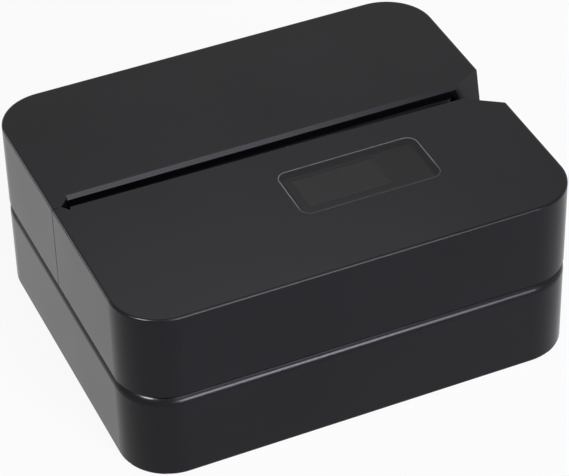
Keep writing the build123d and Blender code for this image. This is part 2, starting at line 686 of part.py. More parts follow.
def flare(wall_y, way):
    """Wedge that opens the channel towards its right end."""
    end = GUIDE_RIGHT_X + 0.1
    points = [(end - GUIDE_FLARE[0], wall_y), (end, wall_y), (end, wall_y + way * GUIDE_FLARE[1])]
    return prism(points, (RAIL_TOP, CASE_TOP))


def disc_guide_rear():
    """Wall behind the disc, with windows for the rollers and their upper bearings."""
    y = (CHANNEL_REAR_Y, CHANNEL_REAR_Y + GUIDE_THICKNESS)
    guide = block((-77, GUIDE_RIGHT_X), y, (DECK_TOP, GUIDE_TOP))
    guide += block((FEED_LEFT_X - 8, FEED_RIGHT_X + 8), (y[0], 15.6), (FLANGE_BOTTOM, FLANGE_TOP))
    for x in (FEED_LEFT_X - 10.5, FEED_RIGHT_X + 9.0):
        guide += block((x, x + 1.5), (y[0], 15.6), (DECK_TOP, FLANGE_TOP))
    guide -= flare(CHANNEL_REAR_Y, 1)
    for x in (FEED_LEFT_X, PLATEN_X, FEED_RIGHT_X):
        guide -= block((x - 5.9, x + 5.9), (0, 9), (ROLLER_BOTTOM - 1, ROLLER_TOP + 1))
        bearing_radius = ROLLER_SHAFT_RADIUS + RUNNING_CLEARANCE
        guide -= rod((x, ROLLER_Y), bearing_radius, (FLANGE_BOTTOM - 1, FLANGE_TOP + 1))
    return guide


FRONT_GUIDES = [((-77.0, -14.2), FEED_LEFT_X), ((38.2, 71.0), FEED_RIGHT_X)]


def disc_guide_front(x, pinch_x):
    """Wall in front of the disc, with the bearing blocks of one pinch roller."""
    y = (CHANNEL_FRONT_Y - GUIDE_THICKNESS, CHANNEL_FRONT_Y)
    block_x = (pinch_x - 4.5, pinch_x + 4.5)
    guide = block(x, y, (DECK_TOP, GUIDE_TOP))
    guide += block(block_x, (-3.4, y[1]), (DECK_TOP, DECK_TOP + 4.6))
    guide += block(block_x, (-3.4, y[1]), (PINCH_BLOCK_BOTTOM, GUIDE_TOP))
    guide -= block((pinch_x - 3.5, pinch_x + 3.5), (-4, 3), (DECK_TOP + 5.6, PINCH_BLOCK_BOTTOM - 0.8))
    bearing_radius = PINCH_SHAFT_RADIUS + RUNNING_CLEARANCE
    guide -= rod((pinch_x, PINCH_Y), bearing_radius, (DECK_TOP + 1, PINCH_BLOCK_BOTTOM + 2.0))
    return guide


def roller_shaft(place):
    return rod(place, ROLLER_SHAFT_RADIUS, (GEAR_PLATE_BOTTOM, FLANGE_TOP))


def roller_tyre(place):
    """Rubber sleeve that drives the disc."""
    return tube(place, ROLLER_RADIUS, ROLLER_SHAFT_RADIUS, (ROLLER_BOTTOM, ROLLER_TOP))


def pinch_roller(x):
    """Moulded roller with its two journals."""
    barrel = rod((x, PINCH_Y), PINCH_RADIUS, (DECK_TOP + 6.4, PINCH_BLOCK_BOTTOM - 1.6))
    journal_z = (DECK_TOP + 1.2, PINCH_BLOCK_BOTTOM + 1.8)
    return barrel + rod((x, PINCH_Y), PINCH_SHAFT_RADIUS, journal_z)


# ---------------------------------------------------------------- print head
def head_arm():
    """Flat steel arm under the cassette that swings the head to the ribbon."""
    arm_z = (ARM_BOTTOM, ARM_TOP)
    points = [
        (HEAD_PIVOT[0], HEAD_PIVOT[1] + 3.6),
        (HEAD_PIVOT[0], HEAD_PIVOT[1] - 3.6),
        (21.0, -12.4),
        (21.0, -2.2),
        (3.0, -2.2),
    ]
    arm = prism(points, arm_z) + rod(HEAD_PIVOT, 3.6, arm_z)
    return arm - rod(HEAD_PIVOT, HEAD_PIN_RADIUS + RUNNING_CLEARANCE, (ARM_BOTTOM - 1, ARM_TOP + 1))


def head_pin():
    """Pivot pin of the head arm, with a head that keeps the arm down."""
    pin = rod(HEAD_PIVOT, HEAD_PIN_RADIUS, (DECK_TOP, ARM_TOP + 0.2))
    return pin + rod(HEAD_PIVOT, 2.6, (ARM_TOP + 0.2, ARM_TOP + 1.2))


def head_heatsink():
    """Finned aluminium block behind the print line."""
    z = (ARM_TOP, CASSETTE_TOP - 0.5)
    sink = block((3.0, 21.0), (-10.4, -0.4), z)
    for x in (5.6, 9.2, 12.8, 16.4):
        sink -= block((x, x + 2.0), (-11, -4.6), (CASSETTE_BOTTOM, z[1] + 1))
    return sink


def print_head():
    """Ceramic strip with the heating line, on the front of the heatsink block."""
    z = (CASSETTE_BOTTOM + 1.5, CASSETTE_TOP - 1.5)
    strip = block((4.5, 19.5), (-0.4, HEAD_FACE_Y - 0.6), z)
    return strip + block((PLATEN_X - 1.2, PLATEN_X + 1.2), (HEAD_FACE_Y - 0.6, HEAD_FACE_Y), z)


def head_spring():
    """Compression spring between the deck's tab and the arm, five turns."""
    radius = 1.4
    wire = 0.25
    length = 6.6
    path = Helix(pitch=length / 5, height=length, radius=radius)
    section = Plane(path @ 0, z_dir=path % 0) * Circle(wire)
    coil = sweep(section, path=path)
    return Pos(14.0, -19.7, ARM_BOTTOM + 1.0) * Rot(-90, 0, 0) * coil


# ---------------------------------------------------------------- ribbon cassette
CASSETTE_OUTLINE = [
    (-24.0, -35.5),
    (48.0, -35.5),
    (48.0, -22.0),
    (37.2, 2.0),
    (31.0, 2.0),
    (28.5, -13.5),
    (-4.5, -13.5),
    (-7.0, 2.0),
    (-13.2, 2.0),
    (-24.0, -22.0),
]
RIBBON_SLITS = (-12.0, 36.0)


def cassette_outer(z):
    return prism(CASSETTE_OUTLINE, z)


def cassette_inner(z):
    outline = offset(make_face(Polyline(*CASSETTE_OUTLINE, close=True)), amount=-CASSETTE_WALL)
    return Pos(0, 0, z[0]) * extrude(outline, z[1] - z[0])


def cassette_shell():
    """Open tray of the ribbon cassette, with slits that the ribbon leaves through."""
    floor = CASSETTE_BOTTOM + CASSETTE_WALL
    shell = cassette_outer((CASSETTE_BOTTOM, CASSETTE_TOP - CASSETTE_WALL))
    shell -= cassette_inner((floor, CASSETTE_TOP))
    for place in (SUPPLY, TAKEUP):
        shell -= rod(place, 3.0, (CASSETTE_BOTTOM - 1, floor + 1))
    for x in RIBBON_SLITS:
        shell -= block((x - 0.5, x + 0.5), (0, 3), (floor, CASSETTE_TOP))
    return shell


def cassette_lid():
    """Flat lid of the cassette, with the two spindle holes."""
    lid = cassette_outer((CASSETTE_TOP - CASSETTE_WALL, CASSETTE_TOP))
    for place in (SUPPLY, TAKEUP):
        lid -= rod(place, 3.0, (CASSETTE_TOP - 3, CASSETTE_TOP + 1))
    return lid


def tangent_point(centre, radius, point, side):
    """Where a line from a point in front of a roll touches it, on its left (-1) or right."""
    away = math.hypot(point[0] - centre[0], point[1] - centre[1])
    line = math.atan2(point[1] - centre[1], point[0] - centre[0])
    angle = line - side * math.acos(radius / away)
    return (centre[0] + radius * math.cos(angle), centre[1] + radius * math.sin(angle))


def ribbon():
    """Ink ribbon from the supply roll, past the head, to the take-up roll."""
    z = (CASSETTE_BOTTOM + 2.0, CASSETTE_TOP - 2.0)
    left, right = RIBBON_SLITS
    path = [
        tangent_point(SUPPLY, SUPPLY_ROLL_RADIUS + 0.15, (left, 0.0), -1),
        (left, 0.0),
        (left, RIBBON_Y),
        (right, RIBBON_Y),
        (right, 0.0),
        tangent_point(TAKEUP, TAKEUP_ROLL_RADIUS + 0.15, (right, 0.0), 1),
    ]
    strip = offset(Polyline(*path), amount=RIBBON_THICKNESS / 2, side=Side.BOTH)
    return Pos(0, 0, z[0]) * extrude(make_face(strip), z[1] - z[0])


def spool_core(place, bore):
    z = (CASSETTE_BOTTOM + CASSETTE_WALL + 0.3, CASSETTE_TOP - CASSETTE_WALL - 0.3)
    return tube(place, SPOOL_CORE_RADIUS, bore, z)


def ribbon_roll(place, radius):
    """Wound ribbon on a spool."""
    return tube(place, radius, SPOOL_CORE_RADIUS, (CASSETTE_BOTTOM + 2.0, CASSETTE_TOP - 2.0))


def supply_post():
    """Fixed post that the supply spool turns on."""
    return rod(SUPPLY, SPINDLE_RADIUS, (DECK_TOP, CASSETTE_TOP - 1.0))


def takeup_spindle():
    return rod(TAKEUP, SPINDLE_RADIUS, (GEAR_PLATE_BOTTOM, CASSETTE_TOP - 1.0))


# ---------------------------------------------------------------- board, sockets, button
def main_board():
    board = block(BOARD_X, BOARD_Y, (BOARD_BOTTOM, BOARD_TOP))
    for place in BOARD_BOSSES:
        board -= rod(place, SCREW_RADIUS, (BOARD_BOTTOM - 1, BOARD_TOP + 1))
    return board


def board_chips():
    """Processor, memory, motor driver and capacitors on the main board."""
    chips = [
        block((-8, 6), (46, 60), (BOARD_TOP, BOARD_TOP + 1.6)),
        block((10, 18), (46, 56), (BOARD_TOP, BOARD_TOP + 1.2)),
        block((-48, -40), (46, 52), (BOARD_TOP, BOARD_TOP + 1.8)),
        block((-20, -12), (44, 48), (BOARD_TOP, BOARD_TOP + 1.2)),
    ]
    chips += [rod((x, 46.0), 4.0, (BOARD_TOP, BOARD_TOP + 12)) for x in (44.0, 54.0)]
    return group(chips)


def usb_socket():
    """Square peripheral socket with its contact tongue."""
    y = (53.0, 69.4)
    z = (BOARD_TOP, BOARD_TOP + 11.0)
    middle_z = (z[0] + z[1]) / 2
    body = block((USB_X - 6, USB_X + 6), y, z)
    body -= block((USB_X - 4.25, USB_X + 4.25), (60.5, 70), (middle_z - 3.9, middle_z + 3.9))
    return body + block((USB_X - 2.8, USB_X + 2.8), (60.0, 68.6), (middle_z - 1.6, middle_z + 1.6))


def dc_socket():
    """Barrel socket with its centre pin."""
    y = (55.0, 69.4)
    z = (BOARD_TOP, BOARD_TOP + 11.0)
    middle_z = (z[0] + z[1]) / 2
    body = block((DC_X - 4.5, DC_X + 4.5), y, z)
    body -= rod_y(DC_X, (60.0, 70.0), middle_z, 3.15)
    return body + rod_y(DC_X, (59.5, 68.8), middle_z, 0.8)


def power_switch():
    """Side-push switch on the board, behind the button."""
    z = (BOARD_TOP, BOARD_TOP + 7.0)
    body = block((64.0, 70.5), (BUTTON_Y - 3.2, BUTTON_Y + 3.2), z)
    return body + rod_x((70.4, 71.4), BUTTON_Y, BUTTON_Z, 1.2)


def power_button():
    """Button cap with its inner flange and stem."""
    width = (BUTTON_Y - BUTTON_WIDTH / 2, BUTTON_Y + BUTTON_WIDTH / 2)
    height = (BUTTON_Z - BUTTON_HEIGHT / 2, BUTTON_Z + BUTTON_HEIGHT / 2)
    cap = block((82.0, 85.4), width, height)
    cap = fillet(cap.faces().sort_by(Axis.X)[-1].edges(), 0.5)
    flange = block((81.4, 82.9), (width[0] - 1, width[1] + 1), (height[0] - 0.9, height[1] + 0.9))
    return cap + flange + rod_x((72.6, 81.5), BUTTON_Y, BUTTON_Z, 1.5)


# ---------------------------------------------------------------- all pieces
def pieces():
    """Node name to shape."""
    nodes = {
        "lower_case": lower_case(),
        "rubber_feet": rubber_feet(),
        "case_screws": group(case_screw(place) for place in COLUMNS),
        "rear_cover": rear_cover(),
        "front_cover": front_cover(),
        "hinge_pins": group(hinge_pin(x) for x in (-HINGE_X, HINGE_X)),
        "hinge_brackets": group(hinge_bracket(x) for x in (-HINGE_X, HINGE_X)),
        "cover_catches": group(cover_catch(side) for side in (-1, 1)),
        "display_window": display_window(),
        "display_frame": display_frame(),
        "screen_panel": screen_panel(),
        "display_board": display_board(),
        "display_screws": group(display_screw(place) for place in DISPLAY_BOSSES),
        "chassis_deck": chassis_deck(),
        "gear_plate": gear_plate(),
        "inner_screws": inner_screws(),
        "standoffs": group(standoff(place) for place in STANDOFFS),
        "idler_pins": idler_pins(),
        "stepper_motor": stepper_motor(),
        "motor_shaft": motor_shaft(),
        "disc_rail": disc_rail(),
        "disc_guide_rear": disc_guide_rear(),
        "disc_guides_front": group(disc_guide_front(*guide) for guide in FRONT_GUIDES),
        "platen_shaft": roller_shaft(PLATEN),
        "platen_roller": roller_tyre(PLATEN),
        "feed_shaft_left": roller_shaft(FEED_LEFT),
        "feed_roller_left": roller_tyre(FEED_LEFT),
        "feed_shaft_right": roller_shaft(FEED_RIGHT),
        "feed_roller_right": roller_tyre(FEED_RIGHT),
        "pinch_roller_left": pinch_roller(FEED_LEFT_X),
        "pinch_roller_right": pinch_roller(FEED_RIGHT_X),
        "head_arm": head_arm(),
        "head_pin": head_pin(),
        "head_heatsink": head_heatsink(),
        "print_head": print_head(),
        "head_spring": head_spring(),
        "cassette_shell": cassette_shell(),
        "cassette_lid": cassette_lid(),
        "ink_ribbon": ribbon(),
        "supply_post": supply_post(),
        "supply_spool": spool_core(SUPPLY, SPINDLE_RADIUS + RUNNING_CLEARANCE),
        "supply_roll": ribbon_roll(SUPPLY, SUPPLY_ROLL_RADIUS),
        "takeup_spindle": takeup_spindle(),
        "takeup_spool": spool_core(TAKEUP, SPINDLE_RADIUS),
        "takeup_roll": ribbon_roll(TAKEUP, TAKEUP_ROLL_RADIUS),
        "main_board": main_board(),
        "board_chips": board_chips(),
        "usb_socket": usb_socket(),
        "dc_socket": dc_socket(),
        "power_switch": power_switch(),
        "power_button": power_button(),
    }
    nodes.update(meshed_gears())
    return nodes


os.makedirs("parts", exist_ok=True)
for node_name, shape in pieces().items():
    export_step(shape, "parts/" + node_name + ".step")
    print(node_name, round(shape.volume, 1))
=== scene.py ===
"""Looks of the disc label printer: satin black ABS case, smoked window, and the works inside."""
import json
import math

import bpy
from mathutils import Matrix, Vector


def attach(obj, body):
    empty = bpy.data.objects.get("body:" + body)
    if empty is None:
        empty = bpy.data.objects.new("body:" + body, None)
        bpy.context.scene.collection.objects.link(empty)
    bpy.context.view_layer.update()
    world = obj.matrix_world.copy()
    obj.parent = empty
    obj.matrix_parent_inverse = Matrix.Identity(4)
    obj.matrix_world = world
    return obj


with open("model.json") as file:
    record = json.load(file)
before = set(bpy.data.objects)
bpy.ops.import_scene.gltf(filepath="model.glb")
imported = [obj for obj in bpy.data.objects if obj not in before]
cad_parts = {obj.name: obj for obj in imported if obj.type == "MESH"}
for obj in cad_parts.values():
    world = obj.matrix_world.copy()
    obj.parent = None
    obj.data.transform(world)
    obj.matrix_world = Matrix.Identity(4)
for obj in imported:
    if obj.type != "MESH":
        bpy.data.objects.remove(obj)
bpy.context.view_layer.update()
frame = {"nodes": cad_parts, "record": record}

MM = 0.001
FOOT_HEIGHT = 1.2 * MM

# ---------------------------------------------------------------- camera
# The place and turn were worked out from the outline of the case in the photograph.
CAMERA_AZIMUTH = math.radians(-23.162)
CAMERA_ELEVATION = math.radians(38.893)
CAMERA_ROLL = math.radians(-1.534)
CAMERA_DISTANCE = 974.09 * MM
CAMERA_TARGET = Vector((-2.06 * MM, -6.91 * MM, 35.0 * MM + FOOT_HEIGHT))
CAMERA_LENS = 170.47
SENSOR_WIDTH = 36.0


def add_camera():
    """Camera at the photograph's angle, level but for a small roll."""
    back = Vector((
        math.sin(CAMERA_AZIMUTH) * math.cos(CAMERA_ELEVATION),
        -math.cos(CAMERA_AZIMUTH) * math.cos(CAMERA_ELEVATION),
        math.sin(CAMERA_ELEVATION),
    ))
    level = Vector((math.cos(CAMERA_AZIMUTH), math.sin(CAMERA_AZIMUTH), 0))
    upright = back.cross(level)
    turn = Matrix.Rotation(CAMERA_ROLL, 3, back)
    right = turn @ level
    up = turn @ upright
    data = bpy.data.cameras.new("camera")
    data.lens = CAMERA_LENS
    data.sensor_width = SENSOR_WIDTH
    data.sensor_fit = "HORIZONTAL"
    data.clip_start = 0.01
    camera = bpy.data.objects.new("camera", data)
    bpy.context.scene.collection.objects.link(camera)
    place = CAMERA_TARGET + back * CAMERA_DISTANCE
    camera.matrix_world = Matrix.Translation(place) @ Matrix((right, up, back)).transposed().to_4x4()
    bpy.context.scene.camera = camera


add_camera()

# ---------------------------------------------------------------- studio
FLOOR_SIZE = 6.0
FLOOR_COLOUR = "e2e2e4"
PURE_WHITE = (1, 1, 1, 1)
SEEN_RAYS = ("Is Camera Ray", "Is Transmission Ray", "Is Glossy Ray")
WHITE_SHARE = 0.93             # the rest of the floor is lit paper, which keeps the shadow
WORLD_LEVEL = 0.10
WALL_LEVEL = 0.45              # pale walls of the studio, low round the object
WALL_RISE = (0.05, 0.5)        # the walls fade out between these parts of the way up
COOL_WHITE = "f4f0ff"
CASE_MIDDLE = 0.05
AIM = (0, 0, CASE_MIDDLE)
# name, azimuth, elevation, distance, width and height, brightness, whether it shows only in gloss
LAMPS = (
    ("key_box", 13, 52, 1.6, (0.72, 0.75), 7.5, False),
    ("front_strip", 12, 10.5, 1.6, (0.62, 0.5), 28, False),
    ("front_wash", 12, 11.5, 1.7, (1.3, 0.55), 2.0, True),
    ("rear_box", 157, 50, 1.6, (0.45, 0.45), 2.05, False),
    ("corner_box", -66, 47, 1.6, (0.42, 0.42), 110, True),
    ("left_box", -138, 11, 1.6, (0.45, 0.6), 6.5, True),
)


def linear(hex_colour):
    """sRGB hex to the linear values that a shader takes."""
    values = []
    for start in (0, 2, 4):
        part = int(hex_colour[start:start + 2], 16) / 255
        values.append(part / 12.92 if part <= 0.04045 else ((part + 0.055) / 1.055) ** 2.4)
    return (*values, 1.0)


def node(tree, kind, settings=None, links=None):
    """Adds a node; settings set its attributes or sockets, links feed its sockets."""
    made = tree.nodes.new(kind)
    for name, value in (settings or {}).items():
        if isinstance(name, int) or name in made.inputs:
            made.inputs[name].default_value = value
        else:
            setattr(made, name, value)
    for name, source in (links or {}).items():
        tree.links.new(source, made.inputs[name])
    return made


def new_material(name):
    """Empty material with its output; returns the material, its tree and the output."""
    material = bpy.data.materials.new(name)
    material.use_nodes = True
    tree = material.node_tree
    tree.nodes.clear()
    return material, tree, node(tree, "ShaderNodeOutputMaterial")


def white_share(tree, share):
    """The share for rays that see the background, by eye, glass or gloss, and 0 for all others."""
    path = node(tree, "ShaderNodeLightPath")
    total = None
    for kind in SEEN_RAYS:
        part = node(tree, "ShaderNodeMath", {"operation": "MULTIPLY", 1: share}, {0: path.outputs[kind]})
        if total is None:
            total = part.outputs[0]
        else:
            total = node(tree, "ShaderNodeMath", {"operation": "ADD", "use_clamp": True},
                         {0: total, 1: part.outputs[0]}).outputs[0]
    return total


def paper_floor():
    """Pale seamless paper: near white by eye and in gloss, with the object's soft shadow."""
    material, tree, output = new_material("pale_seamless_paper")
    paper = node(tree, "ShaderNodeBsdfPrincipled", {
        "Base Color": linear(FLOOR_COLOUR), "Roughness": 0.9, "Specular IOR Level": 0.2})
    white = node(tree, "ShaderNodeEmission", {"Color": PURE_WHITE, "Strength": 1.0})
    mix = node(tree, "ShaderNodeMixShader", None, {
        0: white_share(tree, WHITE_SHARE), 1: paper.outputs[0], 2: white.outputs[0]})
    tree.links.new(mix.outputs[0], output.inputs[0])
    return material


def add_floor():
    """Studio floor under the feet."""
    bpy.ops.mesh.primitive_plane_add(size=FLOOR_SIZE, location=(0, 0, 0))
    floor = bpy.context.active_object
    floor.name = "studio_floor"
    floor.data.materials.append(paper_floor())


def add_world():
    """White where it is seen, and for the light on the object a dim room with pale walls."""
    world = bpy.data.worlds.new("studio")
    bpy.context.scene.world = world
    world.use_nodes = True
    tree = world.node_tree
    tree.nodes.clear()
    output = node(tree, "ShaderNodeOutputWorld")
    seen = white_share(tree, 1.0)
    way = node(tree, "ShaderNodeTexCoord").outputs["Generated"]
    rise = node(tree, "ShaderNodeSeparateXYZ", None, {0: way}).outputs["Z"]
    walls = node(tree, "ShaderNodeMapRange", {
        "interpolation_type": "SMOOTHERSTEP", "From Min": WALL_RISE[0], "From Max": WALL_RISE[1],
        "To Min": WALL_LEVEL, "To Max": WORLD_LEVEL}, {"Value": rise}).outputs[0]
    strength = node(tree, "ShaderNodeMix", {"data_type": "FLOAT", 3: 1.0}, {0: seen, 2: walls}).outputs[0]
    background = node(tree, "ShaderNodeBackground", {"Color": PURE_WHITE}, {"Strength": strength})
    tree.links.new(background.outputs[0], output.inputs[0])


def soft_box(name, place, aim, size, radiance, gloss_only=False):
    """Soft light at a place, turned to an aim point, in metres, with the brightness that it shows."""
    data = bpy.data.lights.new(name, "AREA")
    data.shape = "RECTANGLE"
    data.size, data.size_y = size
    data.energy = radiance * math.pi * size[0] * size[1]
    data.color = linear(COOL_WHITE)[:3]
    lamp = bpy.data.objects.new(name, data)
    bpy.context.scene.collection.objects.link(lamp)
    lamp.location = place
    lamp.rotation_euler = (Vector(aim) - Vector(place)).to_track_quat("-Z", "Y").to_euler()
    lamp.visible_diffuse = not gloss_only
    return lamp


def around(azimuth, elevation, distance):
    """Place at an angle round the case: 0 is in front, 90 to its right."""
    turn = math.radians(azimuth)
    rise = math.radians(elevation)
    flat = distance * math.cos(rise)
    return (flat * math.sin(turn), -flat * math.cos(turn), distance * math.sin(rise) + CASE_MIDDLE)


add_floor()
add_world()
for name, azimuth, elevation, distance, size, brightness, gloss_only in LAMPS:
    soft_box(name, around(azimuth, elevation, distance), AIM, size, brightness, gloss_only)

# ---------------------------------------------------------------- materials
SPARK_GRAIN = 0.35 * MM        # grain that spark erosion leaves in a mould
PIGMENT_CLOUD = 40 * MM        # slow change of gloss over a large moulding
WAVE_PERIOD = math.tau / 20    # a wave texture of scale 1 repeats after this length
INNER_EDGE = 0.25 * MM
CASE_SHEEN = 0.14              # low, because the white studio shows in the case too
WINDOW_SHEEN = 0.24
WINDOW_ALPHA = 0.58
HEATER_X = 12 * MM             # line of heating dots on the print head
HEATER_REACH = (0.5 * MM, 0.7 * MM)
TAKEUP_AXIS = (36 * MM, -23.8 * MM, 0)
SUPPLY_AXIS = (-12 * MM, -23.8 * MM, 0)


def coordinates(tree, stretch=(1, 1, 1), centre=(0, 0, 0)):
    """Object coordinates from a centre, with the pattern drawn out where stretch is under 1."""
    place = node(tree, "ShaderNodeTexCoord").outputs["Object"]
    moved = node(tree, "ShaderNodeVectorMath", {"operation": "SUBTRACT", 1: centre}, {0: place})
    return node(tree, "ShaderNodeVectorMath", {"operation": "MULTIPLY", 1: stretch},
                {0: moved.outputs[0]}).outputs[0]


def noise(tree, place, grain, detail=2.0):
    """Noise of a grain size in metres."""
    return node(tree, "ShaderNodeTexNoise", {"Scale": 1 / grain, "Detail": detail},
                {"Vector": place}).outputs["Fac"]


def wave(tree, place, pitch, direction, kind="BANDS", distortion=0.0):
    """Even ridges of a pitch in metres, straight across an axis or as rings round it."""
    return node(tree, "ShaderNodeTexWave",
                {"wave_type": kind, "bands_direction": direction, "rings_direction": direction,
                 "Scale": WAVE_PERIOD / pitch, "Distortion": distortion, "Detail": 1.0},
                {"Vector": place}).outputs["Fac"]


def between(tree, factor, low, high, start=0.0, stop=1.0):
    """Number that goes from low to high as the factor goes from start to stop."""
    return node(tree, "ShaderNodeMapRange",
                {"From Min": start, "From Max": stop, "To Min": low, "To Max": high},
                {"Value": factor}).outputs[0]


def blended(tree, factor, first, second):
    """Colour between two sRGB hex colours."""
    return node(tree, "ShaderNodeMix", {"data_type": "RGBA", 6: linear(first), 7: linear(second)},
                {0: factor}).outputs[2]


def relief(tree, height, depth, under=None):
    """Bump of a depth in metres, on top of another bump where one is given."""
    links = {"Height": height}
    if under is not None:
        links["Normal"] = under
    return node(tree, "ShaderNodeBump", {"Strength": 1.0, "Distance": depth}, links).outputs[0]


def surface(tree, output, settings, links):
    """Puts the finish together and gives it to the material."""
    shader = node(tree, "ShaderNodeBsdfPrincipled", settings, links)
    tree.links.new(shader.outputs[0], output.inputs[0])


def moulded_plastic(name, colours, roughness, grain_depth, settings=None, soft_edge=0.0):
    """Injection-moulded plastic: an even sheen broken by the fine spark grain of the mould.

    A soft edge, in metres, lets the arrises of the inner mouldings catch the light.
    """
    material, tree, output = new_material(name)
    place = coordinates(tree)
    cloud = noise(tree, place, PIGMENT_CLOUD, 1.0)
    edge = node(tree, "ShaderNodeBevel", {"Radius": soft_edge}).outputs[0] if soft_edge else None
    surface(tree, output, {"IOR": 1.5, **(settings or {})}, {
        "Base Color": blended(tree, cloud, *colours),
        "Roughness": between(tree, cloud, roughness - 0.02, roughness + 0.02, 0.3, 0.7),
        "Normal": relief(tree, noise(tree, place, SPARK_GRAIN), grain_depth, edge)})
    return material


def drawn_metal(name, colours, roughness, lines, settings=None):
    """Metal with fine lines along Z or in the sheet, which spread the highlight, and a faint cloud."""
    material, tree, output = new_material(name)
    cloud = noise(tree, coordinates(tree), 5 * MM, 3.0)
    streak = noise(tree, coordinates(tree, lines), 0.25 * MM, 3.0)
    surface(tree, output, {"Metallic": 1.0, **(settings or {})}, {
        "Base Color": blended(tree, cloud, *colours),
        "Roughness": between(tree, streak, roughness - 0.08, roughness + 0.08, 0.3, 0.7),
        "Normal": relief(tree, streak, 0.006 * MM)})
    return material


def ground_rubber():
    """Rubber ground on its core: dull, with fine rings left by the wheel. Drawn coarser than real."""
    material, tree, output = new_material("ground_black_rubber")
    place = coordinates(tree)
    rings = wave(tree, place, 0.5 * MM, "Z", distortion=1.5)
    dust = noise(tree, place, 0.6 * MM, 4.0)
    surface(tree, output, {"IOR": 1.52, "Specular IOR Level": 0.35}, {
        "Base Color": blended(tree, dust, "19191a", "2a2a2b"),
        "Roughness": between(tree, rings, 0.62, 0.78),
        "Normal": relief(tree, dust, 0.02 * MM, relief(tree, rings, 0.015 * MM))})
    return material


def moulded_rubber():
    """Moulded rubber of the feet: dull black, faintly pitted and dusty."""
    material, tree, output = new_material("moulded_black_rubber")
    pits = noise(tree, coordinates(tree), 0.4 * MM, 4.0)
    surface(tree, output, {"IOR": 1.52, "Specular IOR Level": 0.35}, {
        "Base Color": blended(tree, pits, "141415", "242425"),
        "Roughness": between(tree, pits, 0.6, 0.8),
        "Normal": relief(tree, pits, 0.02 * MM)})
    return material


def circuit_board():
    """Glass-fibre board under green solder mask: copper traces show as paler, raised lines."""
    material, tree, output = new_material("green_solder_mask_board")
    place = coordinates(tree)
    field = node(tree, "ShaderNodeTexChecker", {"Scale": 1 / (8 * MM)}, {"Vector": place}).outputs["Fac"]
    across = wave(tree, place, 1.3 * MM, "X")
    along = wave(tree, place, 1.3 * MM, "Y")
    lines = node(tree, "ShaderNodeMix", {"data_type": "FLOAT"}, {0: field, 2: across, 3: along}).outputs[0]
    routed = between(tree, noise(tree, place, 9 * MM, 1.0), 0.0, 1.0, 0.48, 0.52)
    traces = node(tree, "ShaderNodeMath", {"operation": "MULTIPLY", "use_clamp": True},
                  {0: between(tree, lines, 0.0, 1.0, 0.62, 0.7), 1: routed}).outputs[0]
    surface(tree, output, {"IOR": 1.5, "Roughness": 0.28}, {
        "Base Color": blended(tree, traces, "0b3a20", "1c6a3c"),
        "Normal": relief(tree, traces, 0.03 * MM)})
    return material


def ceramic_head():
    """Glazed alumina strip: ivory, glossy, with the brown line of heating dots on its ridge."""
    material, tree, output = new_material("glazed_alumina_ceramic")
    place = coordinates(tree, centre=(HEATER_X, 0, 0))
    part = node(tree, "ShaderNodeSeparateXYZ", None, {0: place})
    away = node(tree, "ShaderNodeMath", {"operation": "ABSOLUTE"}, {0: part.outputs["X"]}).outputs[0]
    heater = between(tree, away, 1.0, 0.0, *HEATER_REACH)
    mottle = noise(tree, place, 2 * MM, 2.0)
    ivory = blended(tree, mottle, "e4ddcb", "efe9da")
    line = node(tree, "ShaderNodeMix", {"data_type": "RGBA", 7: linear("4a2f20")},
                {0: heater, 6: ivory}).outputs[2]
    surface(tree, output, {"IOR": 1.6}, {
        "Base Color": line,
        "Roughness": between(tree, mottle, 0.1, 0.2)})
    return material


def ribbon_film(name, centre=(0, 0, 0)):
    """Inked polyester film: near black and glossy, its windings seen as fine rings on a roll's end."""
    material, tree, output = new_material(name)
    place = coordinates(tree, centre=centre)
    windings = wave(tree, place, 0.45 * MM, "Z", "RINGS", 0.4)
    haze = noise(tree, place, 4 * MM, 2.0)
    surface(tree, output, {"IOR": 1.6}, {
        "Base Color": blended(tree, haze, "0c0c10", "17171d"),
        "Roughness": between(tree, haze, 0.16, 0.3),
        "Normal": relief(tree, windings, 0.01 * MM)})
    return material


def display_panel():
    """Liquid-crystal glass, switched off: grey-green, with faint square cells under a matt polariser."""
    material, tree, output = new_material("liquid_crystal_glass")
    place = coordinates(tree)
    across = wave(tree, place, 0.8 * MM, "X")
    down = wave(tree, place, 0.8 * MM, "Y")
    cells = node(tree, "ShaderNodeMath", {"operation": "MULTIPLY"}, {0: across, 1: down}).outputs[0]
    surface(tree, output, {"IOR": 1.52}, {
        "Base Color": blended(tree, cells, "868d86", "989f97"),
        "Roughness": between(tree, noise(tree, place, 3 * MM), 0.3, 0.4)})
    return material


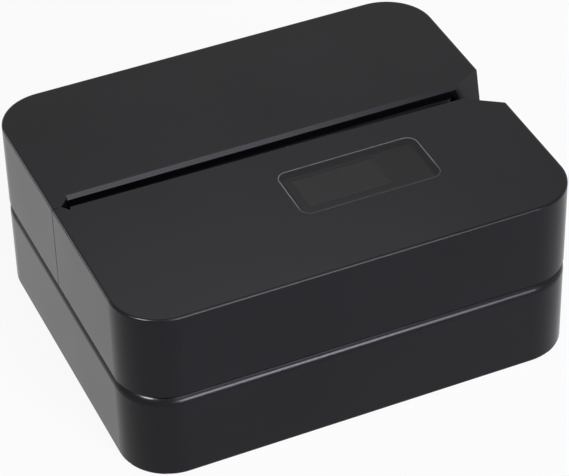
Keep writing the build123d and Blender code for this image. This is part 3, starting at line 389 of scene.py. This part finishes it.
MATERIALS = {
    "case_abs": moulded_plastic("satin_black_moulded_abs", ("0e0e11", "111114"), 0.22, 0.003 * MM,
                                {"Specular IOR Level": CASE_SHEEN}),
    "window_acrylic": moulded_plastic("smoked_cast_acrylic", ("0b0b0d", "0e0e10"), 0.2, 0.001 * MM,
                                      {"Alpha": WINDOW_ALPHA, "Specular IOR Level": WINDOW_SHEEN}),
    "screen_glass": display_panel(),
    "inner_abs": moulded_plastic("matt_black_moulded_abs", ("17171a", "1f1f22"), 0.34, 0.008 * MM,
                                soft_edge=INNER_EDGE),
    "deck_plastic": moulded_plastic("grey_glass_filled_abs", ("303135", "3a3b40"), 0.48, 0.014 * MM,
                                    soft_edge=INNER_EDGE),
    "cassette_plastic": moulded_plastic("smoke_grey_polystyrene", ("43464e", "4e515a"), 0.32, 0.006 * MM,
                                        soft_edge=INNER_EDGE),
    "chip_epoxy": moulded_plastic("black_moulded_epoxy", ("111112", "1a1a1b"), 0.5, 0.012 * MM),
    "gear_pom": moulded_plastic("natural_moulded_acetal", ("e2dfd3", "edeae0"), 0.36, 0.004 * MM,
                                {"Specular IOR Level": 0.45}),
    "plated_steel": drawn_metal("zinc_plated_steel", ("b4b8bc", "cdd0d3"), 0.3, (1, 0.15, 0.15)),
    "heatsink_aluminium": drawn_metal("extruded_aluminium", ("9fa1a4", "b8babc"), 0.42, (1, 1, 0.03)),
    "brass": drawn_metal("turned_brass", ("b8924c", "d0ab62"), 0.26, (0.1, 0.1, 1)),
    "roller_rubber": ground_rubber(),
    "foot_rubber": moulded_rubber(),
    "circuit_board": circuit_board(),
    "head_ceramic": ceramic_head(),
    "ribbon_film": ribbon_film("inked_polyester_film"),
}
WOUND = {
    "takeup_roll": ribbon_film("inked_film_takeup_roll", TAKEUP_AXIS),
    "supply_roll": ribbon_film("inked_film_supply_roll", SUPPLY_AXIS),
}


def finish_node(name, slot):
    """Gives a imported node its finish."""
    piece = frame["nodes"][name]
    piece.data.materials.clear()
    piece.data.materials.append(WOUND.get(name, MATERIALS[slot]))


for subpart in frame["record"]["subparts"]:
    finish_node(subpart["node"], subpart["material_slot"])

# ---------------------------------------------------------------- added pieces
# Sizes are in mm. A pair is a low and a high side.
SMOOTH_ANGLE = math.radians(35)
SOCKET_Z = 15.5                # middle height of both rear sockets
USB_X = -30.0
TONGUE_HALF_WIDTH = 2.86
TONGUE_HALF_HEIGHT = 1.66
TONGUE_Y = (60.6, 68.75)
CONTACT_SPREAD = 1.25          # from the middle of the socket
CONTACT_HALF_WIDTH = 0.5
CONTACT_Y = (61.0, 68.2)
CONTACT_SUNK = 0.1             # in the face of the tongue
CONTACT_PROUD = 0.14
SPRING_SPREAD = 2.2
SPRING_HALF_WIDTH = 0.9
SPRING_Y = (61.5, 69.0)
SPRING_INNER = 3.45            # from the middle height of the socket
SPRING_OUTER = 3.95
POWER_X = 34.0
POWER_PIN_Y = 60.2             # where the pin starts
POWER_PIN_LENGTH = 8.7
POWER_PIN_RADIUS = 0.98
LEAF_HALF_WIDTH = 0.9
LEAF_Y = (60.4, 68.2)
LEAF_Z = (SOCKET_Z + 2.35, SOCKET_Z + 3.05)
CASSETTE_TOP = 62.8
CASSETTE_SUNK = 0.1
GRIP_STARTS = (-22.0, 40.5)
GRIP_RIBS = 5
GRIP_PITCH = 1.3
GRIP_RIB_WIDTH = 0.7
GRIP_Y = (-33.5, -28.5)
GRIP_PROUD = 0.5
FIELD_X = (-4.0, 28.0)
FIELD_Y = (-33.5, -18.0)
FIELD_PROUD = 0.12
STAKE_PLACES = ((-20.5, -23.5), (44.5, -23.5), (-7.0, -31.5), (31.0, -31.5))
STAKE_SUNK = 0.2
STAKE_LENGTH = 0.8
STAKE_RADIUS = 1.3
LID_CEILING = 68.8
LID_RIB_Z = (LID_CEILING - 1.6, LID_CEILING + 0.05)
LID_RIB_MIDDLES = (-50, -25, 0, 25, 50)
LID_RIB_HALF_WIDTH = 0.6
LID_RIB_Y = (-62.0, -43.5)
CROSS_RIB_X = (-60.0, 60.0)
CROSS_RIB_Y = (-53.6, -52.4)
BOARD_FACE = 66.42             # just inside the lower face of the display board
LARGE_CHIP = ((4.0, 13.0), (-33.0, -25.0), 0.95)      # X, Y and thickness
SMALL_CHIP = ((33.0, 38.0), (-24.0, -20.0), 0.8)
CAPACITOR_STARTS = (2.0, 5.5, 9.0, 12.5, 16.0)
CAPACITOR_LENGTH = 1.6
CAPACITOR_Y = (-21.0, -20.2)
CAPACITOR_THICKNESS = 0.6
LEG_START = 4.6
LEG_COUNT = 8
LEG_PITCH = 1.05
LEG_WIDTH = 0.45
LEG_Y = (-34.0, -24.0)
LEG_THICKNESS = 0.3
CONNECTOR = ((18.0, 32.0), (-38.5, -35.5), 1.2)
WINDOW_X = (-8.0, 46.0)        # opening of the window in the lid
WINDOW_Y = (-38.5, -13.2)
WINDOW_RADIUS = 4.0
WINDOW_EDGE_TOP = 71.16        # just under the top of the case
WINDOW_EDGE_OUTSIDE = 0.08
WINDOW_EDGE_WIDTH = 0.28
# The window's edge ring carries a painted highlight: dark grey up to the first Y, pale grey from the
# second, towards the rear.
EDGE_HIGHLIGHT_START = WINDOW_Y[0] + 1
EDGE_HIGHLIGHT_FULL = WINDOW_Y[0] + 9


def centred(middle, half):
    """Low and high side of what reaches half its width to each side of a middle."""
    return (middle - half, middle + half)


def block(*sides):
    """Block from its low and high side along X, Y and Z, its place in its mesh."""
    bpy.ops.object.select_all(action="DESELECT")
    middle = [(low + high) / 2 * MM for low, high in sides]
    bpy.ops.mesh.primitive_cube_add(size=1, location=middle)
    piece = bpy.context.active_object
    piece.scale = [(high - low) * MM for low, high in sides]
    bpy.ops.object.transform_apply(location=True, rotation=True, scale=True)
    return piece


def soldered(x, y, thickness):
    """Block on the lower face of the display board."""
    return block(x, y, (BOARD_FACE - thickness, BOARD_FACE))


def pin(start, length, radius, axis="Z", sides=32):
    """Round pin from the middle of its end face, along Y or Z."""
    bpy.ops.object.select_all(action="DESELECT")
    along = 1 if axis == "Y" else 2
    middle = list(start)
    middle[along] += length / 2
    turn = (math.pi / 2, 0, 0) if axis == "Y" else (0, 0, 0)
    bpy.ops.mesh.primitive_cylinder_add(vertices=sides, radius=radius * MM, depth=length * MM,
                                        location=[part * MM for part in middle], rotation=turn)
    bpy.ops.object.transform_apply(location=True, rotation=True, scale=True)
    return bpy.context.active_object


def assemble(name, parts, body, slot, edge, segments=3):
    """Joins parts that are moulded, stamped or printed together, rounds their edges and mounts them."""
    bpy.ops.object.select_all(action="DESELECT")
    for part in parts:
        part.select_set(True)
    piece = parts[0]
    bpy.context.view_layer.objects.active = piece
    if len(parts) > 1:
        bpy.ops.object.join()
    piece.name = name
    piece.data.name = name
    rounding = piece.modifiers.new("rounding", "BEVEL")
    rounding.width = edge * MM
    rounding.segments = segments
    rounding.limit_method = "ANGLE"
    bpy.ops.object.modifier_apply(modifier=rounding.name)
    bpy.ops.object.shade_smooth_by_angle(angle=SMOOTH_ANGLE)
    piece.data.materials.clear()
    piece.data.materials.append(MATERIALS[slot])
    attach(piece, body)
    return piece


def add_socket_details():
    """Tongue, contacts and springs of the peripheral socket, and pin and leaf of the power socket."""
    low, high = centred(SOCKET_Z, TONGUE_HALF_HEIGHT)
    tongue = block(centred(USB_X, TONGUE_HALF_WIDTH), TONGUE_Y, (low, high))
    assemble("usb_tongue", [tongue], "chassis", "gear_pom", edge=0.3)
    contacts = []
    for middle in centred(USB_X, CONTACT_SPREAD):
        x = centred(middle, CONTACT_HALF_WIDTH)
        contacts.append(block(x, CONTACT_Y, (high - CONTACT_SUNK, high + CONTACT_PROUD)))
        contacts.append(block(x, CONTACT_Y, (low - CONTACT_PROUD, low + CONTACT_SUNK)))
    assemble("usb_contacts", contacts, "chassis", "brass", edge=0.08, segments=2)
    springs = []
    for middle in centred(USB_X, SPRING_SPREAD):
        x = centred(middle, SPRING_HALF_WIDTH)
        springs.append(block(x, SPRING_Y, (SOCKET_Z + SPRING_INNER, SOCKET_Z + SPRING_OUTER)))
        springs.append(block(x, SPRING_Y, (SOCKET_Z - SPRING_OUTER, SOCKET_Z - SPRING_INNER)))
    assemble("usb_shell_springs", springs, "chassis", "plated_steel", edge=0.15, segments=2)
    power_pin = pin((POWER_X, POWER_PIN_Y, SOCKET_Z), POWER_PIN_LENGTH, POWER_PIN_RADIUS, "Y")
    assemble("power_socket_pin", [power_pin], "chassis", "plated_steel", edge=0.45, segments=4)
    leaf = block(centred(POWER_X, LEAF_HALF_WIDTH), LEAF_Y, LEAF_Z)
    assemble("power_socket_leaf", [leaf], "chassis", "plated_steel", edge=0.15, segments=2)


def add_cassette_details():
    """Finger ribs, heat stakes and a bare raised field on the lid of the ribbon cassette."""
    root = CASSETTE_TOP - CASSETTE_SUNK
    ribs = []
    for left in GRIP_STARTS:
        for step in range(GRIP_RIBS):
            start = left + step * GRIP_PITCH
            ribs.append(block((start, start + GRIP_RIB_WIDTH), GRIP_Y, (root, CASSETTE_TOP + GRIP_PROUD)))
    assemble("cassette_grip_ribs", ribs, "chassis", "cassette_plastic", edge=0.18, segments=2)
    field = block(FIELD_X, FIELD_Y, (root, CASSETTE_TOP + FIELD_PROUD))
    assemble("cassette_blank_field", [field], "chassis", "gear_pom", edge=0.08, segments=2)
    stakes = [pin((x, y, CASSETTE_TOP - STAKE_SUNK), STAKE_LENGTH, STAKE_RADIUS) for x, y in STAKE_PLACES]
    assemble("cassette_heat_stakes", stakes, "chassis", "cassette_plastic", edge=0.5, segments=4)


def add_lid_details():
    """Stiffening ribs under the lid, and what is soldered to the lower face of the display board."""
    ribs = [block(centred(x, LID_RIB_HALF_WIDTH), LID_RIB_Y, LID_RIB_Z) for x in LID_RIB_MIDDLES]
    ribs.append(block(CROSS_RIB_X, CROSS_RIB_Y, LID_RIB_Z))
    assemble("lid_stiffening_ribs", ribs, "lid", "case_abs", edge=0.2, segments=2)
    chips = [soldered(*LARGE_CHIP), soldered(*SMALL_CHIP)]
    chips += [soldered((x, x + CAPACITOR_LENGTH), CAPACITOR_Y, CAPACITOR_THICKNESS)
              for x in CAPACITOR_STARTS]
    assemble("display_board_chips", chips, "lid", "chip_epoxy", edge=0.12, segments=2)
    legs = []
    for step in range(LEG_COUNT):
        x = LEG_START + step * LEG_PITCH
        legs.append(soldered((x, x + LEG_WIDTH), LEG_Y, LEG_THICKNESS))
    assemble("display_chip_legs", legs, "lid", "plated_steel", edge=0.06, segments=2)
    assemble("display_board_connector", [soldered(*CONNECTOR)], "lid", "gear_pom", edge=0.2, segments=2)


def painted_highlight_edge():
    """Ring round the smoked plate with a painted highlight: pale grey along its rear and most of its ends,
    fading to dark grey at its front.
    """
    material, tree, output = new_material("window_edge_painted_highlight")
    place = coordinates(tree)
    depth = node(tree, "ShaderNodeSeparateXYZ", None, {0: place}).outputs["Y"]
    # Painted highlight: the ring's colour goes from dark grey at the front to pale grey at the rear.
    back = between(tree, depth, 0.0, 1.0, EDGE_HIGHLIGHT_START * MM, EDGE_HIGHLIGHT_FULL * MM)
    surface(tree, output, {"IOR": 1.49}, {
        "Base Color": blended(tree, back, "3c3c41", "8a8a92"),
        "Roughness": between(tree, noise(tree, place, 2 * MM), 0.1, 0.2)})
    return material


def add_window_edge():
    """Ring round the smoked window, down in the groove between plate and cover, coloured as a painted
    highlight: a bright line.
    """
    bpy.ops.object.select_all(action="DESELECT")
    middle = (sum(WINDOW_X) / 2 * MM, sum(WINDOW_Y) / 2 * MM, WINDOW_EDGE_TOP * MM)
    bpy.ops.mesh.primitive_plane_add(size=1, location=middle)
    piece = bpy.context.active_object
    piece.name = "window_edge_with_painted_highlight"
    piece.data.name = piece.name
    grown = 2 * WINDOW_EDGE_OUTSIDE
    piece.scale = ((WINDOW_X[1] - WINDOW_X[0] + grown) * MM, (WINDOW_Y[1] - WINDOW_Y[0] + grown) * MM, 1)
    bpy.ops.object.transform_apply(location=True, rotation=True, scale=True)
    bpy.ops.object.mode_set(mode="EDIT")
    bpy.ops.mesh.select_all(action="SELECT")
    bpy.ops.mesh.bevel(offset=(WINDOW_RADIUS + WINDOW_EDGE_OUTSIDE) * MM, segments=10, affect="VERTICES")
    bpy.ops.mesh.select_all(action="SELECT")
    bpy.ops.mesh.inset(thickness=WINDOW_EDGE_WIDTH * MM)
    bpy.ops.mesh.delete(type="FACE")
    bpy.ops.object.mode_set(mode="OBJECT")
    wall = piece.modifiers.new("wall", "SOLIDIFY")
    wall.thickness = WINDOW_EDGE_WIDTH / 2 * MM
    wall.offset = -1
    bpy.ops.object.modifier_apply(modifier=wall.name)
    # The ring's grey is a painted highlight, not the colour of the acrylic.
    piece.data.materials.append(painted_highlight_edge())
    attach(piece, "lid")


add_window_edge()
add_socket_details()
add_cassette_details()
add_lid_details()

# ---------------------------------------------------------------- colours as written
bpy.context.scene.view_settings.view_transform = "Standard"
